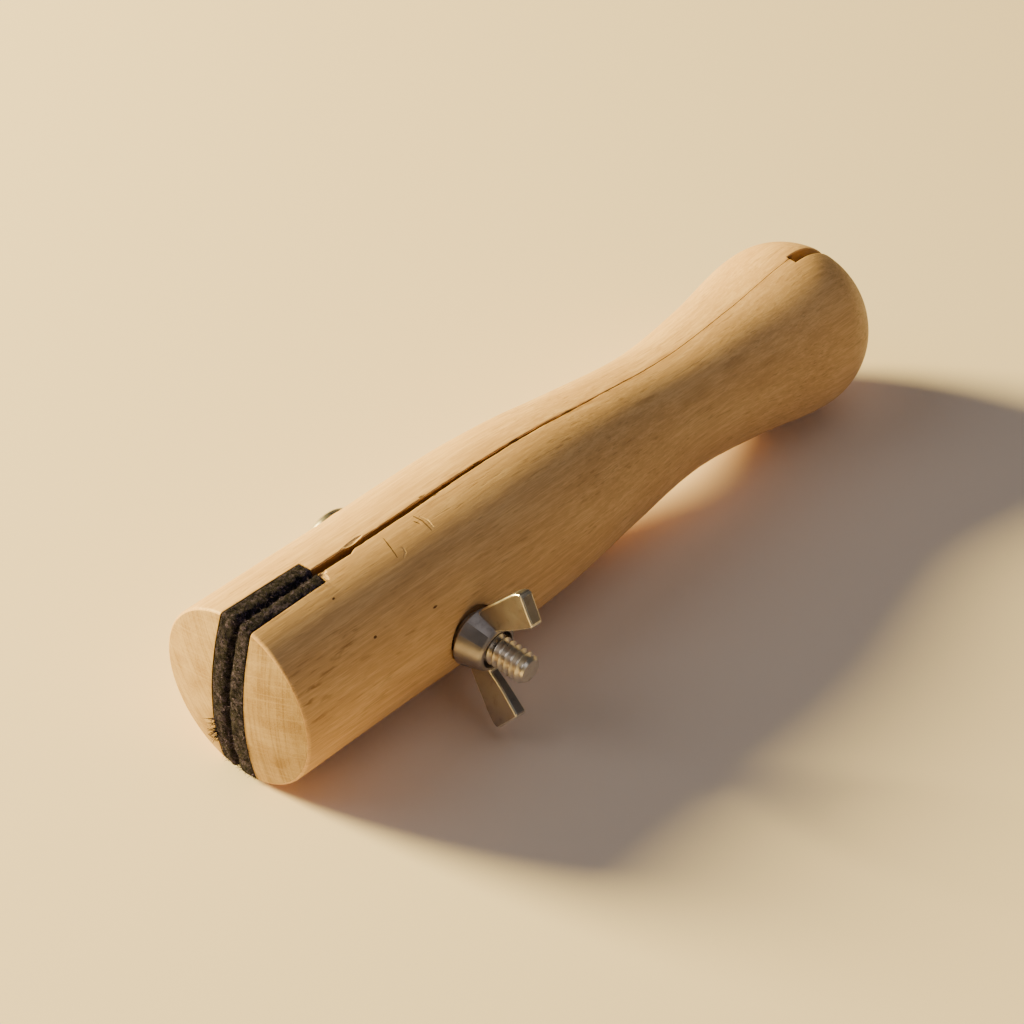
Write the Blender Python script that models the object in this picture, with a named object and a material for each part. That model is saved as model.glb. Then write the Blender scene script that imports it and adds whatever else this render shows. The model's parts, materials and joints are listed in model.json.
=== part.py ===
"""Wooden hand clamp with felt jaws, drawn up by a carriage bolt and a wing nut.

Tool coordinates, in metres: X runs from the nose to the butt on the long axis, Y runs
from the wing nut side to the bolt head side, and Z is up in the plane of the seam.
The empty "clamp" carries those coordinates to the place where the tool lies on its side.
"""

import math

import bmesh
import bpy
from mathutils import Matrix, Vector

MM = 0.001

# Driving dimensions
LENGTH = 140 * MM
NOSE_RADIUS = 14.1 * MM
BARREL_RADIUS = 14.35 * MM
WAIST_RADIUS = 10.8 * MM
BULB_RADIUS = 14.5 * MM
NOSE_SAG = 2.2 * MM
RIM_ROUND = 0.6 * MM
BUTT_CAP = 13.5 * MM

GAP = 0.3 * MM
BODY_STEPS = 72

BOLT_X = 35 * MM
PIN_X = 125 * MM

# Seam between the halves
MOUTH_KERF = 1.24 * MM
MOUTH_KERF_END = 24 * MM
KERF_AT_BOLT = 0.8 * MM
KERF_CLOSES_AT = 75 * MM
RELIEF_SLOT = 1.6 * MM

# Jaw pads
PAD_LENGTH = 16.7 * MM
FAR_PAD_THICKNESS = 2.45 * MM
NEAR_PAD_THICKNESS = 2.85 * MM

# Carriage bolt, number 10 by 24 threads per inch
THREAD_RADIUS = 2.4 * MM
THREAD_PITCH = 1.058 * MM
THREAD_DEPTH = 0.32 * MM
THREAD_START = -4 * MM
BOLT_END = 25.2 * MM
HEAD_SEAT = 13.9 * MM
HEAD_RADIUS = 5.4 * MM
HEAD_DOME = 2.4 * MM
HEAD_RIM = 0.4 * MM
NECK_WIDTH = 4.8 * MM
NECK_LENGTH = 3 * MM

# Wing nut and its washer
WASHER_SEAT = 13.2 * MM
WASHER_RADIUS = 4.3 * MM
WASHER_THICKNESS = 0.8 * MM
NUT_RECESS_RADIUS = 5.5 * MM
NUT_BASE_RADIUS = 4.8 * MM
NUT_TOP_RADIUS = 3.5 * MM
NUT_HUB_HEIGHT = 4.4 * MM
WING_REACH = 12 * MM
WING_HEIGHT = 10.6 * MM
WING_THICKNESS = 2.3 * MM
WING_TIP_ROUND = 1.3 * MM
WING_ANGLE = 83

# Fulcrum pin and opening spring
PIN_RADIUS = 1.5 * MM
PIN_LENGTH = 24 * MM
SPRING_RADIUS = 3.5 * MM
SPRING_WIRE = 0.4 * MM
SPRING_LENGTH = 11 * MM
SPRING_TURNS = 6
SPRING_BORE = 6 * MM
FAR_BORE_RADIUS = 4.3 * MM
NEAR_BORE_RADIUS = 4.9 * MM

HEAD_TOP = HEAD_SEAT + HEAD_RIM + HEAD_DOME
ROW_SHIFT = Vector((-LENGTH / 2, (BOLT_END - HEAD_TOP) / 2, BULB_RADIUS))

# Turns a shape modelled about Z so that it lies about the long axis, or about the bolt
ALONG_BODY = Matrix.Rotation(math.radians(90), 4, "Y")
ALONG_BOLT = Matrix.Translation((BOLT_X, 0, 0)) @ Matrix.Rotation(math.radians(90), 4, "X")


def clear_scene():
    for old in list(bpy.data.objects):
        bpy.data.objects.remove(old, do_unlink=True)


def new_collection(name, hidden):
    collection = bpy.data.collections.new(name)
    collection.hide_render = hidden
    bpy.context.scene.collection.children.link(collection)
    return collection


def new_empty(name, collection, parent, place):
    empty = bpy.data.objects.new(name, None)
    empty.empty_display_size = 0.01
    empty.parent = parent
    empty.location = place
    collection.objects.link(empty)
    return empty


def new_material(name, color, roughness, metallic):
    material = bpy.data.materials.new(name)
    material.use_nodes = True
    shader = material.node_tree.nodes["Principled BSDF"]
    shader.inputs["Base Color"].default_value = (*color, 1)
    shader.inputs["Roughness"].default_value = roughness
    shader.inputs["Metallic"].default_value = metallic
    material.diffuse_color = (*color, 1)
    return material


def shade(mesh, limit=35):
    """Smooth shading that keeps every edge sharper than the limit, in degrees."""
    bm = bmesh.new()
    bm.from_mesh(mesh)
    for face in bm.faces:
        face.smooth = True
    for edge in bm.edges:
        edge.smooth = edge.is_manifold and edge.calc_face_angle() < math.radians(limit)
    bm.to_mesh(mesh)
    bm.free()


def mesh_object(name, bm, turn=Matrix()):
    bmesh.ops.remove_doubles(bm, verts=bm.verts, dist=1e-6)
    bm.transform(turn)
    bm.normal_update()
    bmesh.ops.recalc_face_normals(bm, faces=bm.faces)
    mesh = bpy.data.meshes.new(name)
    bm.to_mesh(mesh)
    bm.free()
    shade(mesh)
    return bpy.data.objects.new(name, mesh)


def revolve(name, outline, steps, turn):
    """Spin an outline of (radius, height) points about Z."""
    bm = bmesh.new()
    verts = [bm.verts.new((radius, 0, height)) for radius, height in outline]
    edges = [bm.edges.new(pair) for pair in zip(verts, verts[1:])]
    bmesh.ops.spin(
        bm, geom=verts + edges, axis=(0, 0, 1), cent=(0, 0, 0), angle=math.tau, steps=steps
    )
    return mesh_object(name, bm, turn)


def block(name, low, high):
    """A box between two corners."""
    low = Vector(low)
    high = Vector(high)
    size = Matrix.Diagonal((*(high - low), 1))
    bm = bmesh.new()
    bmesh.ops.create_cube(bm, size=1, matrix=Matrix.Translation((low + high) / 2) @ size)
    return mesh_object(name, bm)


def rod(name, radius, low, high, turn, steps=40):
    """A cylinder about Z between two heights, turned into place."""
    bm = bmesh.new()
    bmesh.ops.create_cone(
        bm,
        cap_ends=True,
        segments=steps,
        radius1=radius,
        radius2=radius,
        depth=high - low,
        matrix=Matrix.Translation((0, 0, (low + high) / 2)),
    )
    return mesh_object(name, bm, turn)


def curve_object(name, curve, turn=Matrix()):
    """Turn a curve's swept or filled shape into a closed mesh."""
    swept = bpy.data.objects.new(name + "_curve", curve)
    bpy.context.scene.collection.objects.link(swept)
    bpy.context.view_layer.update()
    bm = bmesh.new()
    bm.from_mesh(bpy.data.meshes.new_from_object(swept))
    bpy.data.objects.remove(swept, do_unlink=True)
    return mesh_object(name, bm, turn)


def plate(name, outline, thickness, turn, round_edge=0):
    """Fill a flat outline and give it a thickness, half to each side."""
    curve = bpy.data.curves.new(name, "CURVE")
    curve.dimensions = "2D"
    curve.fill_mode = "BOTH"
    curve.extrude = thickness / 2 - round_edge
    curve.bevel_depth = round_edge
    curve.bevel_resolution = 1
    curve.offset = -round_edge
    spline = curve.splines.new("POLY")
    spline.points.add(len(outline) - 1)
    for point, (across, up) in zip(spline.points, outline):
        point.co = (across, up, 0, 1)
    spline.use_cyclic_u = True
    return curve_object(name, curve, turn)


def arc(center, radius, start, end, count):
    """Points on a circle between two angles in degrees."""
    angles = [math.radians(start + (end - start) * i / (count - 1)) for i in range(count)]
    return [
        (center[0] + radius * math.cos(angle), center[1] + radius * math.sin(angle))
        for angle in angles
    ]


def boolean(target, operation, tool):
    cut = target.modifiers.new(operation.lower() + "_" + tool.name, "BOOLEAN")
    cut.operation = operation
    cut.solver = "EXACT"
    cut.object = tool


def body_radius(x):
    """Radius of the turned handle between the rim and the butt's cap."""
    stations = [
        (0, NOSE_RADIUS),
        (24 * MM, NOSE_RADIUS),
        (47 * MM, BARREL_RADIUS),
        (62 * MM, 13.8 * MM),
        (77 * MM, 12.2 * MM),
        (94 * MM, WAIST_RADIUS),
        (110 * MM, 12.2 * MM),
        (LENGTH - BUTT_CAP, BULB_RADIUS),
        (LENGTH, BULB_RADIUS),
    ]
    index = max(i for i, (start, _) in enumerate(stations[:-1]) if x >= start)

    def slope(i):
        before = stations[max(i - 1, 0)]
        after = stations[min(i + 1, len(stations) - 1)]
        here = stations[i]
        if (here[1] - before[1]) * (after[1] - here[1]) <= 0:
            return 0
        return (after[1] - before[1]) / (after[0] - before[0])

    (x0, r0), (x1, r1) = stations[index], stations[index + 1]
    span = x1 - x0
    t = (x - x0) / span
    return (
        (2 * t**3 - 3 * t**2 + 1) * r0
        + (t**3 - 2 * t**2 + t) * span * slope(index)
        + (3 * t**2 - 2 * t**3) * r1
        + (t**3 - t**2) * span * slope(index + 1)
    )


def nose_outline():
    """The domed nose and its softened rim, from the axis outwards."""
    inner = NOSE_RADIUS - RIM_ROUND
    dome = [
        (inner * i / 4, NOSE_SAG * (inner * i / 4 / NOSE_RADIUS) ** 2) for i in range(5)
    ]
    start = dome[-1][1] + RIM_ROUND
    rim = arc((inner, start), RIM_ROUND, -60, 0, 3)
    return dome + rim


def body_outline():
    start = nose_outline()[-1][1]
    stretch = LENGTH - BUTT_CAP - start
    side = [(body_radius(start + stretch * i / 26), start + stretch * i / 26) for i in range(1, 27)]
    cap = [
        (
            BULB_RADIUS * math.cos(math.pi / 2 * i / 9),
            LENGTH - BUTT_CAP * (1 - math.sin(math.pi / 2 * i / 9)),
        )
        for i in range(1, 10)
    ]
    return nose_outline() + side + cap


def pad_thickness(side):
    return FAR_PAD_THICKNESS if side > 0 else NEAR_PAD_THICKNESS


def seam_outline(side):
    """Plan of all that lies on the other side of one half's inner face."""
    rabbet = pad_thickness(side) + GAP * 1.5
    beyond = 2 * NOSE_RADIUS
    return [
        (-beyond, -beyond),
        (-beyond, rabbet),
        (PAD_LENGTH + GAP, rabbet),
        (PAD_LENGTH + GAP, MOUTH_KERF / 2),
        (MOUTH_KERF_END, MOUTH_KERF / 2),
        (MOUTH_KERF_END + 0.6 * MM, KERF_AT_BOLT / 2),
        (KERF_CLOSES_AT, GAP / 2),
        (PIN_X, GAP / 2),
        (PIN_X, RELIEF_SLOT / 2),
        (LENGTH + beyond, RELIEF_SLOT / 2),
        (LENGTH + beyond, -beyond),
    ]


def make_jaw(name, side, cutters):
    """One half of the turned body: side is 1 for the far half and -1 for the near one."""
    jaw = revolve(name, body_outline(), BODY_STEPS, ALONG_BODY)
    mirror = Matrix.Diagonal((1, side, 1, 1))
    tools = [plate(name + "_seam", seam_outline(side), 4 * NOSE_RADIUS, mirror)]
    tools.append(
        rod(
            name + "_pin_groove",
            PIN_RADIUS + GAP,
            -2 * NOSE_RADIUS,
            2 * NOSE_RADIUS,
            Matrix.Translation((PIN_X, 0, 0)),
            32,
        )
    )
    for tool in tools + bolt_hole_tools(name, side):
        cutters.objects.link(tool)
        boolean(jaw, "DIFFERENCE", tool)
    return jaw


def bolt_hole_tools(name, side):
    """Bolt hole, spring bore and the flat that the head or the washer bears on."""
    deep = 2 * NOSE_RADIUS
    turn = ALONG_BOLT @ Matrix.Rotation(math.radians(180 if side > 0 else 0), 4, "X")
    bore_radius = FAR_BORE_RADIUS if side > 0 else NEAR_BORE_RADIUS
    bore = rod(name + "_spring_bore", bore_radius, -MM, SPRING_BORE, turn)
    if side > 0:
        hole = rod(name + "_bolt_hole", THREAD_RADIUS + GAP, -MM, deep, turn)
        half = NECK_WIDTH / 2 + GAP
        neck = block(
            name + "_neck_hole",
            (BOLT_X - half, HEAD_SEAT - NECK_LENGTH - GAP, -half),
            (BOLT_X + half, deep, half),
        )
        seat = rod(name + "_head_seat", HEAD_RADIUS + 2 * GAP, HEAD_SEAT - GAP, deep, turn)
        return [hole, neck, bore, seat]
    # The near hole is a slot, because that half rocks about the pin
    radius = THREAD_RADIUS + 1.3 * GAP
    outline = arc((0, 0), radius, -90, 90, 13) + arc((-MM, 0), radius, 90, 270, 13)
    slot = plate(name + "_bolt_slot", outline, 2 * deep, ALONG_BOLT)
    seat = rod(name + "_washer_seat", NUT_RECESS_RADIUS, WASHER_SEAT, deep, turn)
    return [slot, bore, seat]


def make_pad(name, side, cutters):
    """Felt lining cut to the round of the nose."""
    outline = nose_outline() + [(NOSE_RADIUS, PAD_LENGTH), (0, PAD_LENGTH)]
    pad = revolve(name, outline, BODY_STEPS, ALONG_BODY)
    inner = side * GAP / 2
    outer = inner + side * pad_thickness(side)
    deep = 2 * NOSE_RADIUS
    slab = block(
        name + "_slab",
        (-deep, min(inner, outer), -deep),
        (deep, max(inner, outer), deep),
    )
    cutters.objects.link(slab)
    boolean(pad, "INTERSECT", slab)
    return pad


def thread_outline():
    """Thread crests and roots as plain rings, from the shank to the bolt's end."""
    turns = int((BOLT_END - 0.6 * MM - THREAD_START) / THREAD_PITCH)
    root = THREAD_RADIUS - THREAD_DEPTH
    rings = []
    for i in range(turns):
        height = THREAD_START + i * THREAD_PITCH
        rings.append((THREAD_RADIUS, height))
        rings.append((THREAD_RADIUS, height + 0.2 * THREAD_PITCH))
        rings.append((root, height + 0.6 * THREAD_PITCH))
    return rings + [(root, BOLT_END - 0.3 * MM), (root - 0.2 * MM, BOLT_END), (0, BOLT_END)]


def make_bolt(cutters):
    """Carriage bolt: domed head on the far side, square neck, thread to the near side."""
    rim = -HEAD_SEAT - HEAD_RIM
    dome = [
        (
            HEAD_RADIUS * math.sin(math.pi / 2 * i / 7),
            rim - HEAD_DOME * math.cos(math.pi / 2 * i / 7),
        )
        for i in range(8)
    ]
    shank = [(HEAD_RADIUS, -HEAD_SEAT), (THREAD_RADIUS, -HEAD_SEAT)]
    bolt = revolve("carriage_bolt", dome + shank + thread_outline(), 32, ALONG_BOLT)
    half = NECK_WIDTH / 2
    neck = block(
        "square_neck",
        (BOLT_X - half, HEAD_SEAT - NECK_LENGTH, -half),
        (BOLT_X + half, HEAD_SEAT + 0.1 * MM, half),
    )
    cutters.objects.link(neck)
    boolean(bolt, "UNION", neck)
    return bolt


def wing_outline():
    """One wing seen flat: across from the bolt axis, and up from the nut's base."""
    root = 0.24 * WING_REACH
    outer = (0.7 * WING_REACH, 0.37 * WING_HEIGHT)
    tip = (WING_REACH - WING_TIP_ROUND, 0.66 * WING_HEIGHT)
    inner = (0.66 * WING_REACH, WING_HEIGHT - 0.5 * MM)
    return (
        [(root, 0.3 * MM), (NUT_BASE_RADIUS, 0.9 * MM), outer]
        + arc(tip, WING_TIP_ROUND, -50, 50, 6)
        + arc(inner, 0.5 * MM, 55, 150, 4)
        + [(0.29 * WING_REACH, NUT_HUB_HEIGHT), (root, NUT_HUB_HEIGHT - 0.3 * MM)]
    )


def make_wing_nut(cutters):
    base = WASHER_SEAT + WASHER_THICKNESS + 2 * GAP
    place = ALONG_BOLT @ Matrix.Translation((0, 0, base))
    profile = [
        (0, 0),
        (NUT_BASE_RADIUS - 0.2 * MM, 0),
        (NUT_BASE_RADIUS, 0.2 * MM),
        (NUT_BASE_RADIUS, 0.8 * MM),
        (NUT_TOP_RADIUS, NUT_HUB_HEIGHT - 0.2 * MM),
        (NUT_TOP_RADIUS - 0.2 * MM, NUT_HUB_HEIGHT),
        (0, NUT_HUB_HEIGHT),
    ]
    nut = revolve("wing_nut", profile, 40, place)
    for side in (0, 180):
        spin = Matrix.Rotation(math.radians(WING_ANGLE + side), 4, "Z")
        stand = Matrix.Rotation(math.radians(90), 4, "X")
        wing = plate(
            f"wing_{side}", wing_outline(), WING_THICKNESS, place @ spin @ stand, 0.4 * MM
        )
        cutters.objects.link(wing)
        boolean(nut, "UNION", wing)
    bore = rod("nut_bore", THREAD_RADIUS + GAP, -MM, 2 * WING_HEIGHT, place, 32)
    cutters.objects.link(bore)
    boolean(nut, "DIFFERENCE", bore)
    return nut


def make_washer():
    low = WASHER_SEAT + GAP
    high = low + WASHER_THICKNESS
    hole = THREAD_RADIUS + GAP
    ring = [(hole, low), (WASHER_RADIUS, low), (WASHER_RADIUS, high), (hole, high), (hole, low)]
    return revolve("flat_washer", ring, 48, ALONG_BOLT)


def make_pin():
    """Steel pin across the seam that the halves rock on."""
    end = PIN_LENGTH / 2
    face = PIN_RADIUS - 0.3 * MM
    profile = [
        (0, -end),
        (face, -end),
        (PIN_RADIUS, 0.3 * MM - end),
        (PIN_RADIUS, end - 0.3 * MM),
        (face, end),
        (0, end),
    ]
    return revolve("fulcrum_pin", profile, 32, Matrix.Translation((PIN_X, 0, 0)))


def make_spring():
    """Compression spring on the bolt that parts the halves when the nut backs off."""
    curve = bpy.data.curves.new("spring", "CURVE")
    curve.dimensions = "3D"
    curve.bevel_depth = SPRING_WIRE
    curve.bevel_resolution = 2
    curve.use_fill_caps = True
    spline = curve.splines.new("POLY")
    per_turn = 16
    count = SPRING_TURNS * per_turn
    rise = SPRING_LENGTH - 2 * SPRING_WIRE
    spline.points.add(count)
    for i, point in enumerate(spline.points):
        angle = math.tau * i / per_turn
        height = rise * (i / count - 0.5)
        x = SPRING_RADIUS * math.cos(angle)
        y = SPRING_RADIUS * math.sin(angle)
        point.co = (x, y, height, 1)
    return curve_object("opening_spring", curve, ALONG_BOLT)


def finish(part, material, parts, parent, pivot):
    """Put a part's origin on its joint's axis and hang it from that joint's empty."""
    part.data.transform(Matrix.Translation(-Vector(pivot)))
    part.data.materials.append(material)
    part.parent = parent
    parts.objects.link(part)


def build():
    clear_scene()
    parts = new_collection("hand_clamp", False)
    cutters = new_collection("cutters", True)
    clamp = new_empty("clamp", parts, None, ROW_SHIFT)

    wood = new_material("beech", (0.78, 0.56, 0.33), 0.55, 0)
    felt = new_material("black_felt", (0.03, 0.028, 0.027), 0.95, 0)
    nickel = new_material("nickel_plate", (0.62, 0.58, 0.52), 0.3, 1)
    steel = new_material("spring_steel", (0.45, 0.45, 0.46), 0.35, 1)

    axis = (0, 0, 0)
    pin = (PIN_X, 0, 0)
    bolt = (BOLT_X, 0, 0)
    jaw_pivot = new_empty("jaw_pivot", parts, clamp, pin)
    bolt_axis = new_empty("bolt_axis", parts, clamp, bolt)

    finish(make_jaw("far_jaw", 1, cutters), wood, parts, clamp, axis)
    finish(make_pad("far_pad", 1, cutters), felt, parts, clamp, axis)
    finish(make_bolt(cutters), nickel, parts, clamp, axis)
    finish(make_pin(), steel, parts, clamp, axis)
    finish(make_spring(), steel, parts, clamp, axis)
    finish(make_jaw("near_jaw", -1, cutters), wood, parts, jaw_pivot, pin)
    finish(make_pad("near_pad", -1, cutters), felt, parts, jaw_pivot, pin)
    finish(make_washer(), nickel, parts, bolt_axis, bolt)
    finish(make_wing_nut(cutters), nickel, parts, bolt_axis, bolt)

    for tool in cutters.objects:
        tool.parent = clamp
        tool.display_type = "WIRE"
        tool.hide_render = True
    bpy.context.view_layer.update()


build()
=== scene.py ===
import json
import math
import random

import bmesh
import bpy
import numpy as np
from mathutils import Matrix, Vector, noise


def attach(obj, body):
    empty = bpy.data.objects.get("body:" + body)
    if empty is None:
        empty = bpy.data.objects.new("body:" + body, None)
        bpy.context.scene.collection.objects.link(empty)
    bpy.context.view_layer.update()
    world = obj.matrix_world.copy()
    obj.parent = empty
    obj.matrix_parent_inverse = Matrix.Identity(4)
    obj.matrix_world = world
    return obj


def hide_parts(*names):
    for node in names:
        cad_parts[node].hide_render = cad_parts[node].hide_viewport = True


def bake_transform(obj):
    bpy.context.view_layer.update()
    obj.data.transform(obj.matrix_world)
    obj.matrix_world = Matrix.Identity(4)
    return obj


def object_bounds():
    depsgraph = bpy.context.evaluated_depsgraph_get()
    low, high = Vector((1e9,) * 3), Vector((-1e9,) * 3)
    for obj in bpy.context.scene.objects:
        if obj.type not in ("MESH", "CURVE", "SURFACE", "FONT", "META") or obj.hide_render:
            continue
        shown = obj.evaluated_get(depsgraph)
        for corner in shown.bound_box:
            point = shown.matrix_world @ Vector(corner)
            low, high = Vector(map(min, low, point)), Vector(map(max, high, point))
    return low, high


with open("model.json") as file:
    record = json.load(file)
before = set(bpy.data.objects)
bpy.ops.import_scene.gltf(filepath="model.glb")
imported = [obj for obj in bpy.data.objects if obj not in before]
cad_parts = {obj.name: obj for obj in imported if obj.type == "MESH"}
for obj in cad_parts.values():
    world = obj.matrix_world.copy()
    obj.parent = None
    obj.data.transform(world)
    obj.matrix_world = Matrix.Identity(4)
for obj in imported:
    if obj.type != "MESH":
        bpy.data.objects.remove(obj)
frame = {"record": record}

CAD_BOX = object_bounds()
MM = 0.001

# Shapes are made in millimetres from the nose tip: X along the tool, Y from the wing nut to the
# bolt's head, Z up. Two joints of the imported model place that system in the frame.
PIN_X = 125
JOINTS = {joint["name"]: joint for joint in frame["record"]["behaviour"]["joints"]}
ORIGIN = Vector(JOINTS["jaw_open"]["pos_m"]) - Vector((PIN_X * MM, 0, 0))
BOLT_X = (JOINTS["nut_spin"]["pos_m"][0] - ORIGIN.x) / MM

LENGTH = 140
NOSE_RADIUS = 14.1
NOSE_SAG = 2.2           # how far the nose's shallow dome stands out
RIM_ROUND = 0.6
BULB_RADIUS = 14.5
BUTT_CAP = 13.5          # length of the rounded cap at the butt
PAD_END = 16.9
PAD_RADIUS = 14.12
PAD_FACE = 0.12          # from the seam plane to a pad's inner face
PAD_ROUND = 1.15
STATIONS = [             # (place, radius) of the turned outline
    (0, NOSE_RADIUS), (24, NOSE_RADIUS), (47, 14.35), (62, 13.8), (77, 12.2), (94, 10.8),
    (110, 12.2), (LENGTH - BUTT_CAP, BULB_RADIUS), (LENGTH, BULB_RADIUS),
]

# Half the saw kerf at places along the seam, for the far half (1) and the near half (-1).
KERF = {
    1: [
        (17, 0.66), (22.5, 0.6), (24, 0.42), (30, 0.4), (45, 0.28), (60, 0.17), (75, 0.07),
        (88, 0.05), (125, 0.03),
    ],
    -1: [
        (17, 0.68), (23.3, 0.84), (24.4, 0.42), (36, 0.46), (45, 0.32), (60, 0.18), (75, 0.07),
        (88, 0.05), (125, 0.03),
    ],
}
BUTT_SLOT = {1: 0.62, -1: 1.25}

# Heights along the bolt, from the middle of the tool outwards, and radii about it.
THREAD_RADIUS = 2.4
THREAD_DEPTH = 0.62
THREAD_PITCH = 1.058
BOLT_END = 25.2
HEAD_SEAT = 13.9
HEAD_RADIUS = 5.4
NUT_BASE = 14.4
WING_ANGLE = 83          # degrees about the bolt
ALONG_BOLT = Matrix.Translation((BOLT_X, 0, 0)) @ Matrix.Rotation(math.radians(90), 4, "X")
ALONG_HEAD = Matrix.Translation((BOLT_X, 0, 0)) @ Matrix.Rotation(math.radians(-90), 4, "X")
UPRIGHT = Matrix.Translation((PIN_X, 0, 0))

# Material slots: of the wooden halves, of the felt pads and of the wing nut's rounded edges.
# The sawn slot carries painted shade on the kerf walls, holes and cuts.
TURNED, SAWN_SHADED, TORN, END_GRAIN = range(4)
FELT, FIBRE = range(2)
# The wing nut's edge slot is brighter metal: worn plating and a painted highlight.
CAST_EDGE_HIGHLIGHT = 1

# Points across a half's outside and its inner face: close together at the edges, then even.
EDGE_STEPS = [0, 0.03, 0.06, 0.1, 0.15, 0.22, 0.32, 0.46, 0.66, 0.95, 1.35, 1.9]
OUTER_STEPS = 30
WALL_STEPS = 9

FIBRES = 2200
FIBRE_RINGS = 4
FIBRE_SIDES = 3


# -------- nodes

class Shader:
    """Short calls for building one material's node tree."""

    def __init__(self, name, color):
        self.material = bpy.data.materials.new(name)
        self.material.use_nodes = True
        self.material.diffuse_color = (*color, 1)
        self.tree = self.material.node_tree
        self.tree.nodes.clear()
        output = self.node("OutputMaterial")
        self.bsdf = self.node("BsdfPrincipled")
        self.tree.links.new(self.bsdf.outputs[0], output.inputs["Surface"])
        self.bsdf.inputs["Base Color"].default_value = (*color, 1)
        place = self.node("TexCoord").outputs["Object"]
        scaled = self.vector("MULTIPLY", place, (1 / MM, 1 / MM, 1 / MM))
        self.place = self.vector("SUBTRACT", scaled, tuple(ORIGIN / MM))

    def put(self, socket, value):
        """Link a socket into another, or set its plain value."""
        if isinstance(value, bpy.types.NodeSocket):
            self.tree.links.new(value, socket)
        else:
            socket.default_value = value

    def node(self, kind, inputs=(), **properties):
        """A node with its properties set, then its (name or index, value) inputs."""
        node = self.tree.nodes.new("ShaderNode" + kind)
        for key, value in properties.items():
            setattr(node, key, value)
        for key, value in inputs:
            self.put(node.inputs[key], value)
        return node

    def split(self):
        """The X, Y and Z of the shaded point, in millimetres."""
        return self.node("SeparateXYZ", [(0, self.place)]).outputs

    def vector(self, operation, first, second=(0, 0, 0)):
        node = self.node("VectorMath", [(0, first), (1, second)], operation=operation)
        return node.outputs["Value" if operation in ("LENGTH", "DOT_PRODUCT") else "Vector"]

    def math(self, operation, first, second=0.0):
        return self.node("Math", [(0, first), (1, second)], operation=operation).outputs[0]

    def total(self, *parts):
        """The sum of (socket, weight) pairs."""
        scaled = [self.math("MULTIPLY", socket, weight) for socket, weight in parts]
        result = scaled[0]
        for part in scaled[1:]:
            result = self.math("ADD", result, part)
        return result

    def finish(self, inputs):
        """Feed the shader's named inputs and give the finished material."""
        for name, value in inputs.items():
            self.put(self.bsdf.inputs[name], value)
        return self.material

    def noise(self, scale, detail=2.0, rough=0.5, place=None, distortion=0.0):
        """Noise with the given number of features a millimetre along each axis."""
        stretched = self.vector("MULTIPLY", place or self.place, scale)
        given = [("Vector", stretched), ("Scale", 1), ("Detail", detail)]
        given += [("Roughness", rough), ("Distortion", distortion)]
        return self.node("TexNoise", given).outputs["Fac"]

    def remap(self, value, low, high, to_low=0.0, to_high=1.0):
        """A smooth step between two values, held at its ends."""
        given = [("Value", value), ("From Min", low), ("From Max", high)]
        given += [("To Min", to_low), ("To Max", to_high)]
        node = self.node("MapRange", given, clamp=True, interpolation_type="SMOOTHSTEP")
        return node.outputs["Result"]

    def mix(self, amount, first, second):
        node = self.node("Mix", [("Factor", amount)], data_type="RGBA", blend_type="MIX")
        for socket, value in ((node.inputs[6], first), (node.inputs[7], second)):
            self.put(socket, value if isinstance(value, bpy.types.NodeSocket) else (*value, 1))
        return node.outputs[2]

    def ramp(self, value, stops):
        node = self.node("ValToRGB", [("Fac", value)])
        elements = node.color_ramp.elements
        while len(elements) < len(stops):
            elements.new(0.5)
        for element, (position, color) in zip(elements, stops):
            element.position = position
            element.color = (*color, 1)
        return node.outputs["Color"]

    def bump(self, height, strength, distance, normal=None):
        given = [("Strength", strength), ("Distance", distance), ("Height", height)]
        if normal is not None:
            given.append(("Normal", normal))
        return self.node("Bump", given).outputs["Normal"]

    def spot(self, center, size):
        """A soft spot, 1 in the middle and 0 at its edge, with a size along each axis."""
        offset = self.vector("SUBTRACT", self.place, center)
        scaled = self.vector("DIVIDE", offset, size)
        return self.remap(self.vector("LENGTH", scaled), 0.25, 1.0, 1.0, 0.0)


# -------- outline

def body_radius(x):
    """Radius of the turned body at each place along it, between the rim and the butt's cap."""
    x = np.asarray(x, float)
    places, radii = np.array(STATIONS, float).T
    slopes = np.zeros(len(places))
    for i in range(1, len(places) - 1):
        if (radii[i] - radii[i - 1]) * (radii[i + 1] - radii[i]) > 0:
            slopes[i] = (radii[i + 1] - radii[i - 1]) / (places[i + 1] - places[i - 1])
    index = np.clip(np.searchsorted(places, x, side="right") - 1, 0, len(places) - 2)
    span = places[index + 1] - places[index]
    t = (x - places[index]) / span
    return (
        (2 * t**3 - 3 * t**2 + 1) * radii[index]
        + (t**3 - 2 * t**2 + t) * span * slopes[index]
        + (3 * t**2 - 2 * t**3) * radii[index + 1]
        + (t**3 - t**2) * span * slopes[index + 1]
    )


def nose_dome(reach):
    """Place along the tool of the nose's shallow dome, this far from the tool's axis."""
    return NOSE_SAG * (reach / NOSE_RADIUS) ** 2


def outer_radius(x):
    """Radius of the whole outline, with the nose's dome and the butt's cap."""
    if x < NOSE_SAG:
        return NOSE_RADIUS * math.sqrt(max(x, 0) / NOSE_SAG)
    if x > LENGTH - BUTT_CAP:
        return BULB_RADIUS * math.sqrt(max(1 - ((x - LENGTH + BUTT_CAP) / BUTT_CAP) ** 2, 0))
    return float(body_radius(x))


def on_body(x, angle, lift=0.0):
    """A point on the outer surface: angle in degrees from the top, towards the far side."""
    turn = math.radians(angle)
    radius = outer_radius(x) + lift
    return Vector((x, radius * math.sin(turn), radius * math.cos(turn)))


def wobble(point, size, seed=0.0):
    """Smooth noise between about -1 and 1, with features of the given size."""
    return noise.noise(Vector(point) / size + Vector((seed, 2.3 * seed, -1.7 * seed)))


# -------- meshes

def add_object(name, data):
    obj = bpy.data.objects.new(name, data)
    bpy.context.scene.collection.objects.link(obj)
    return obj


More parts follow.
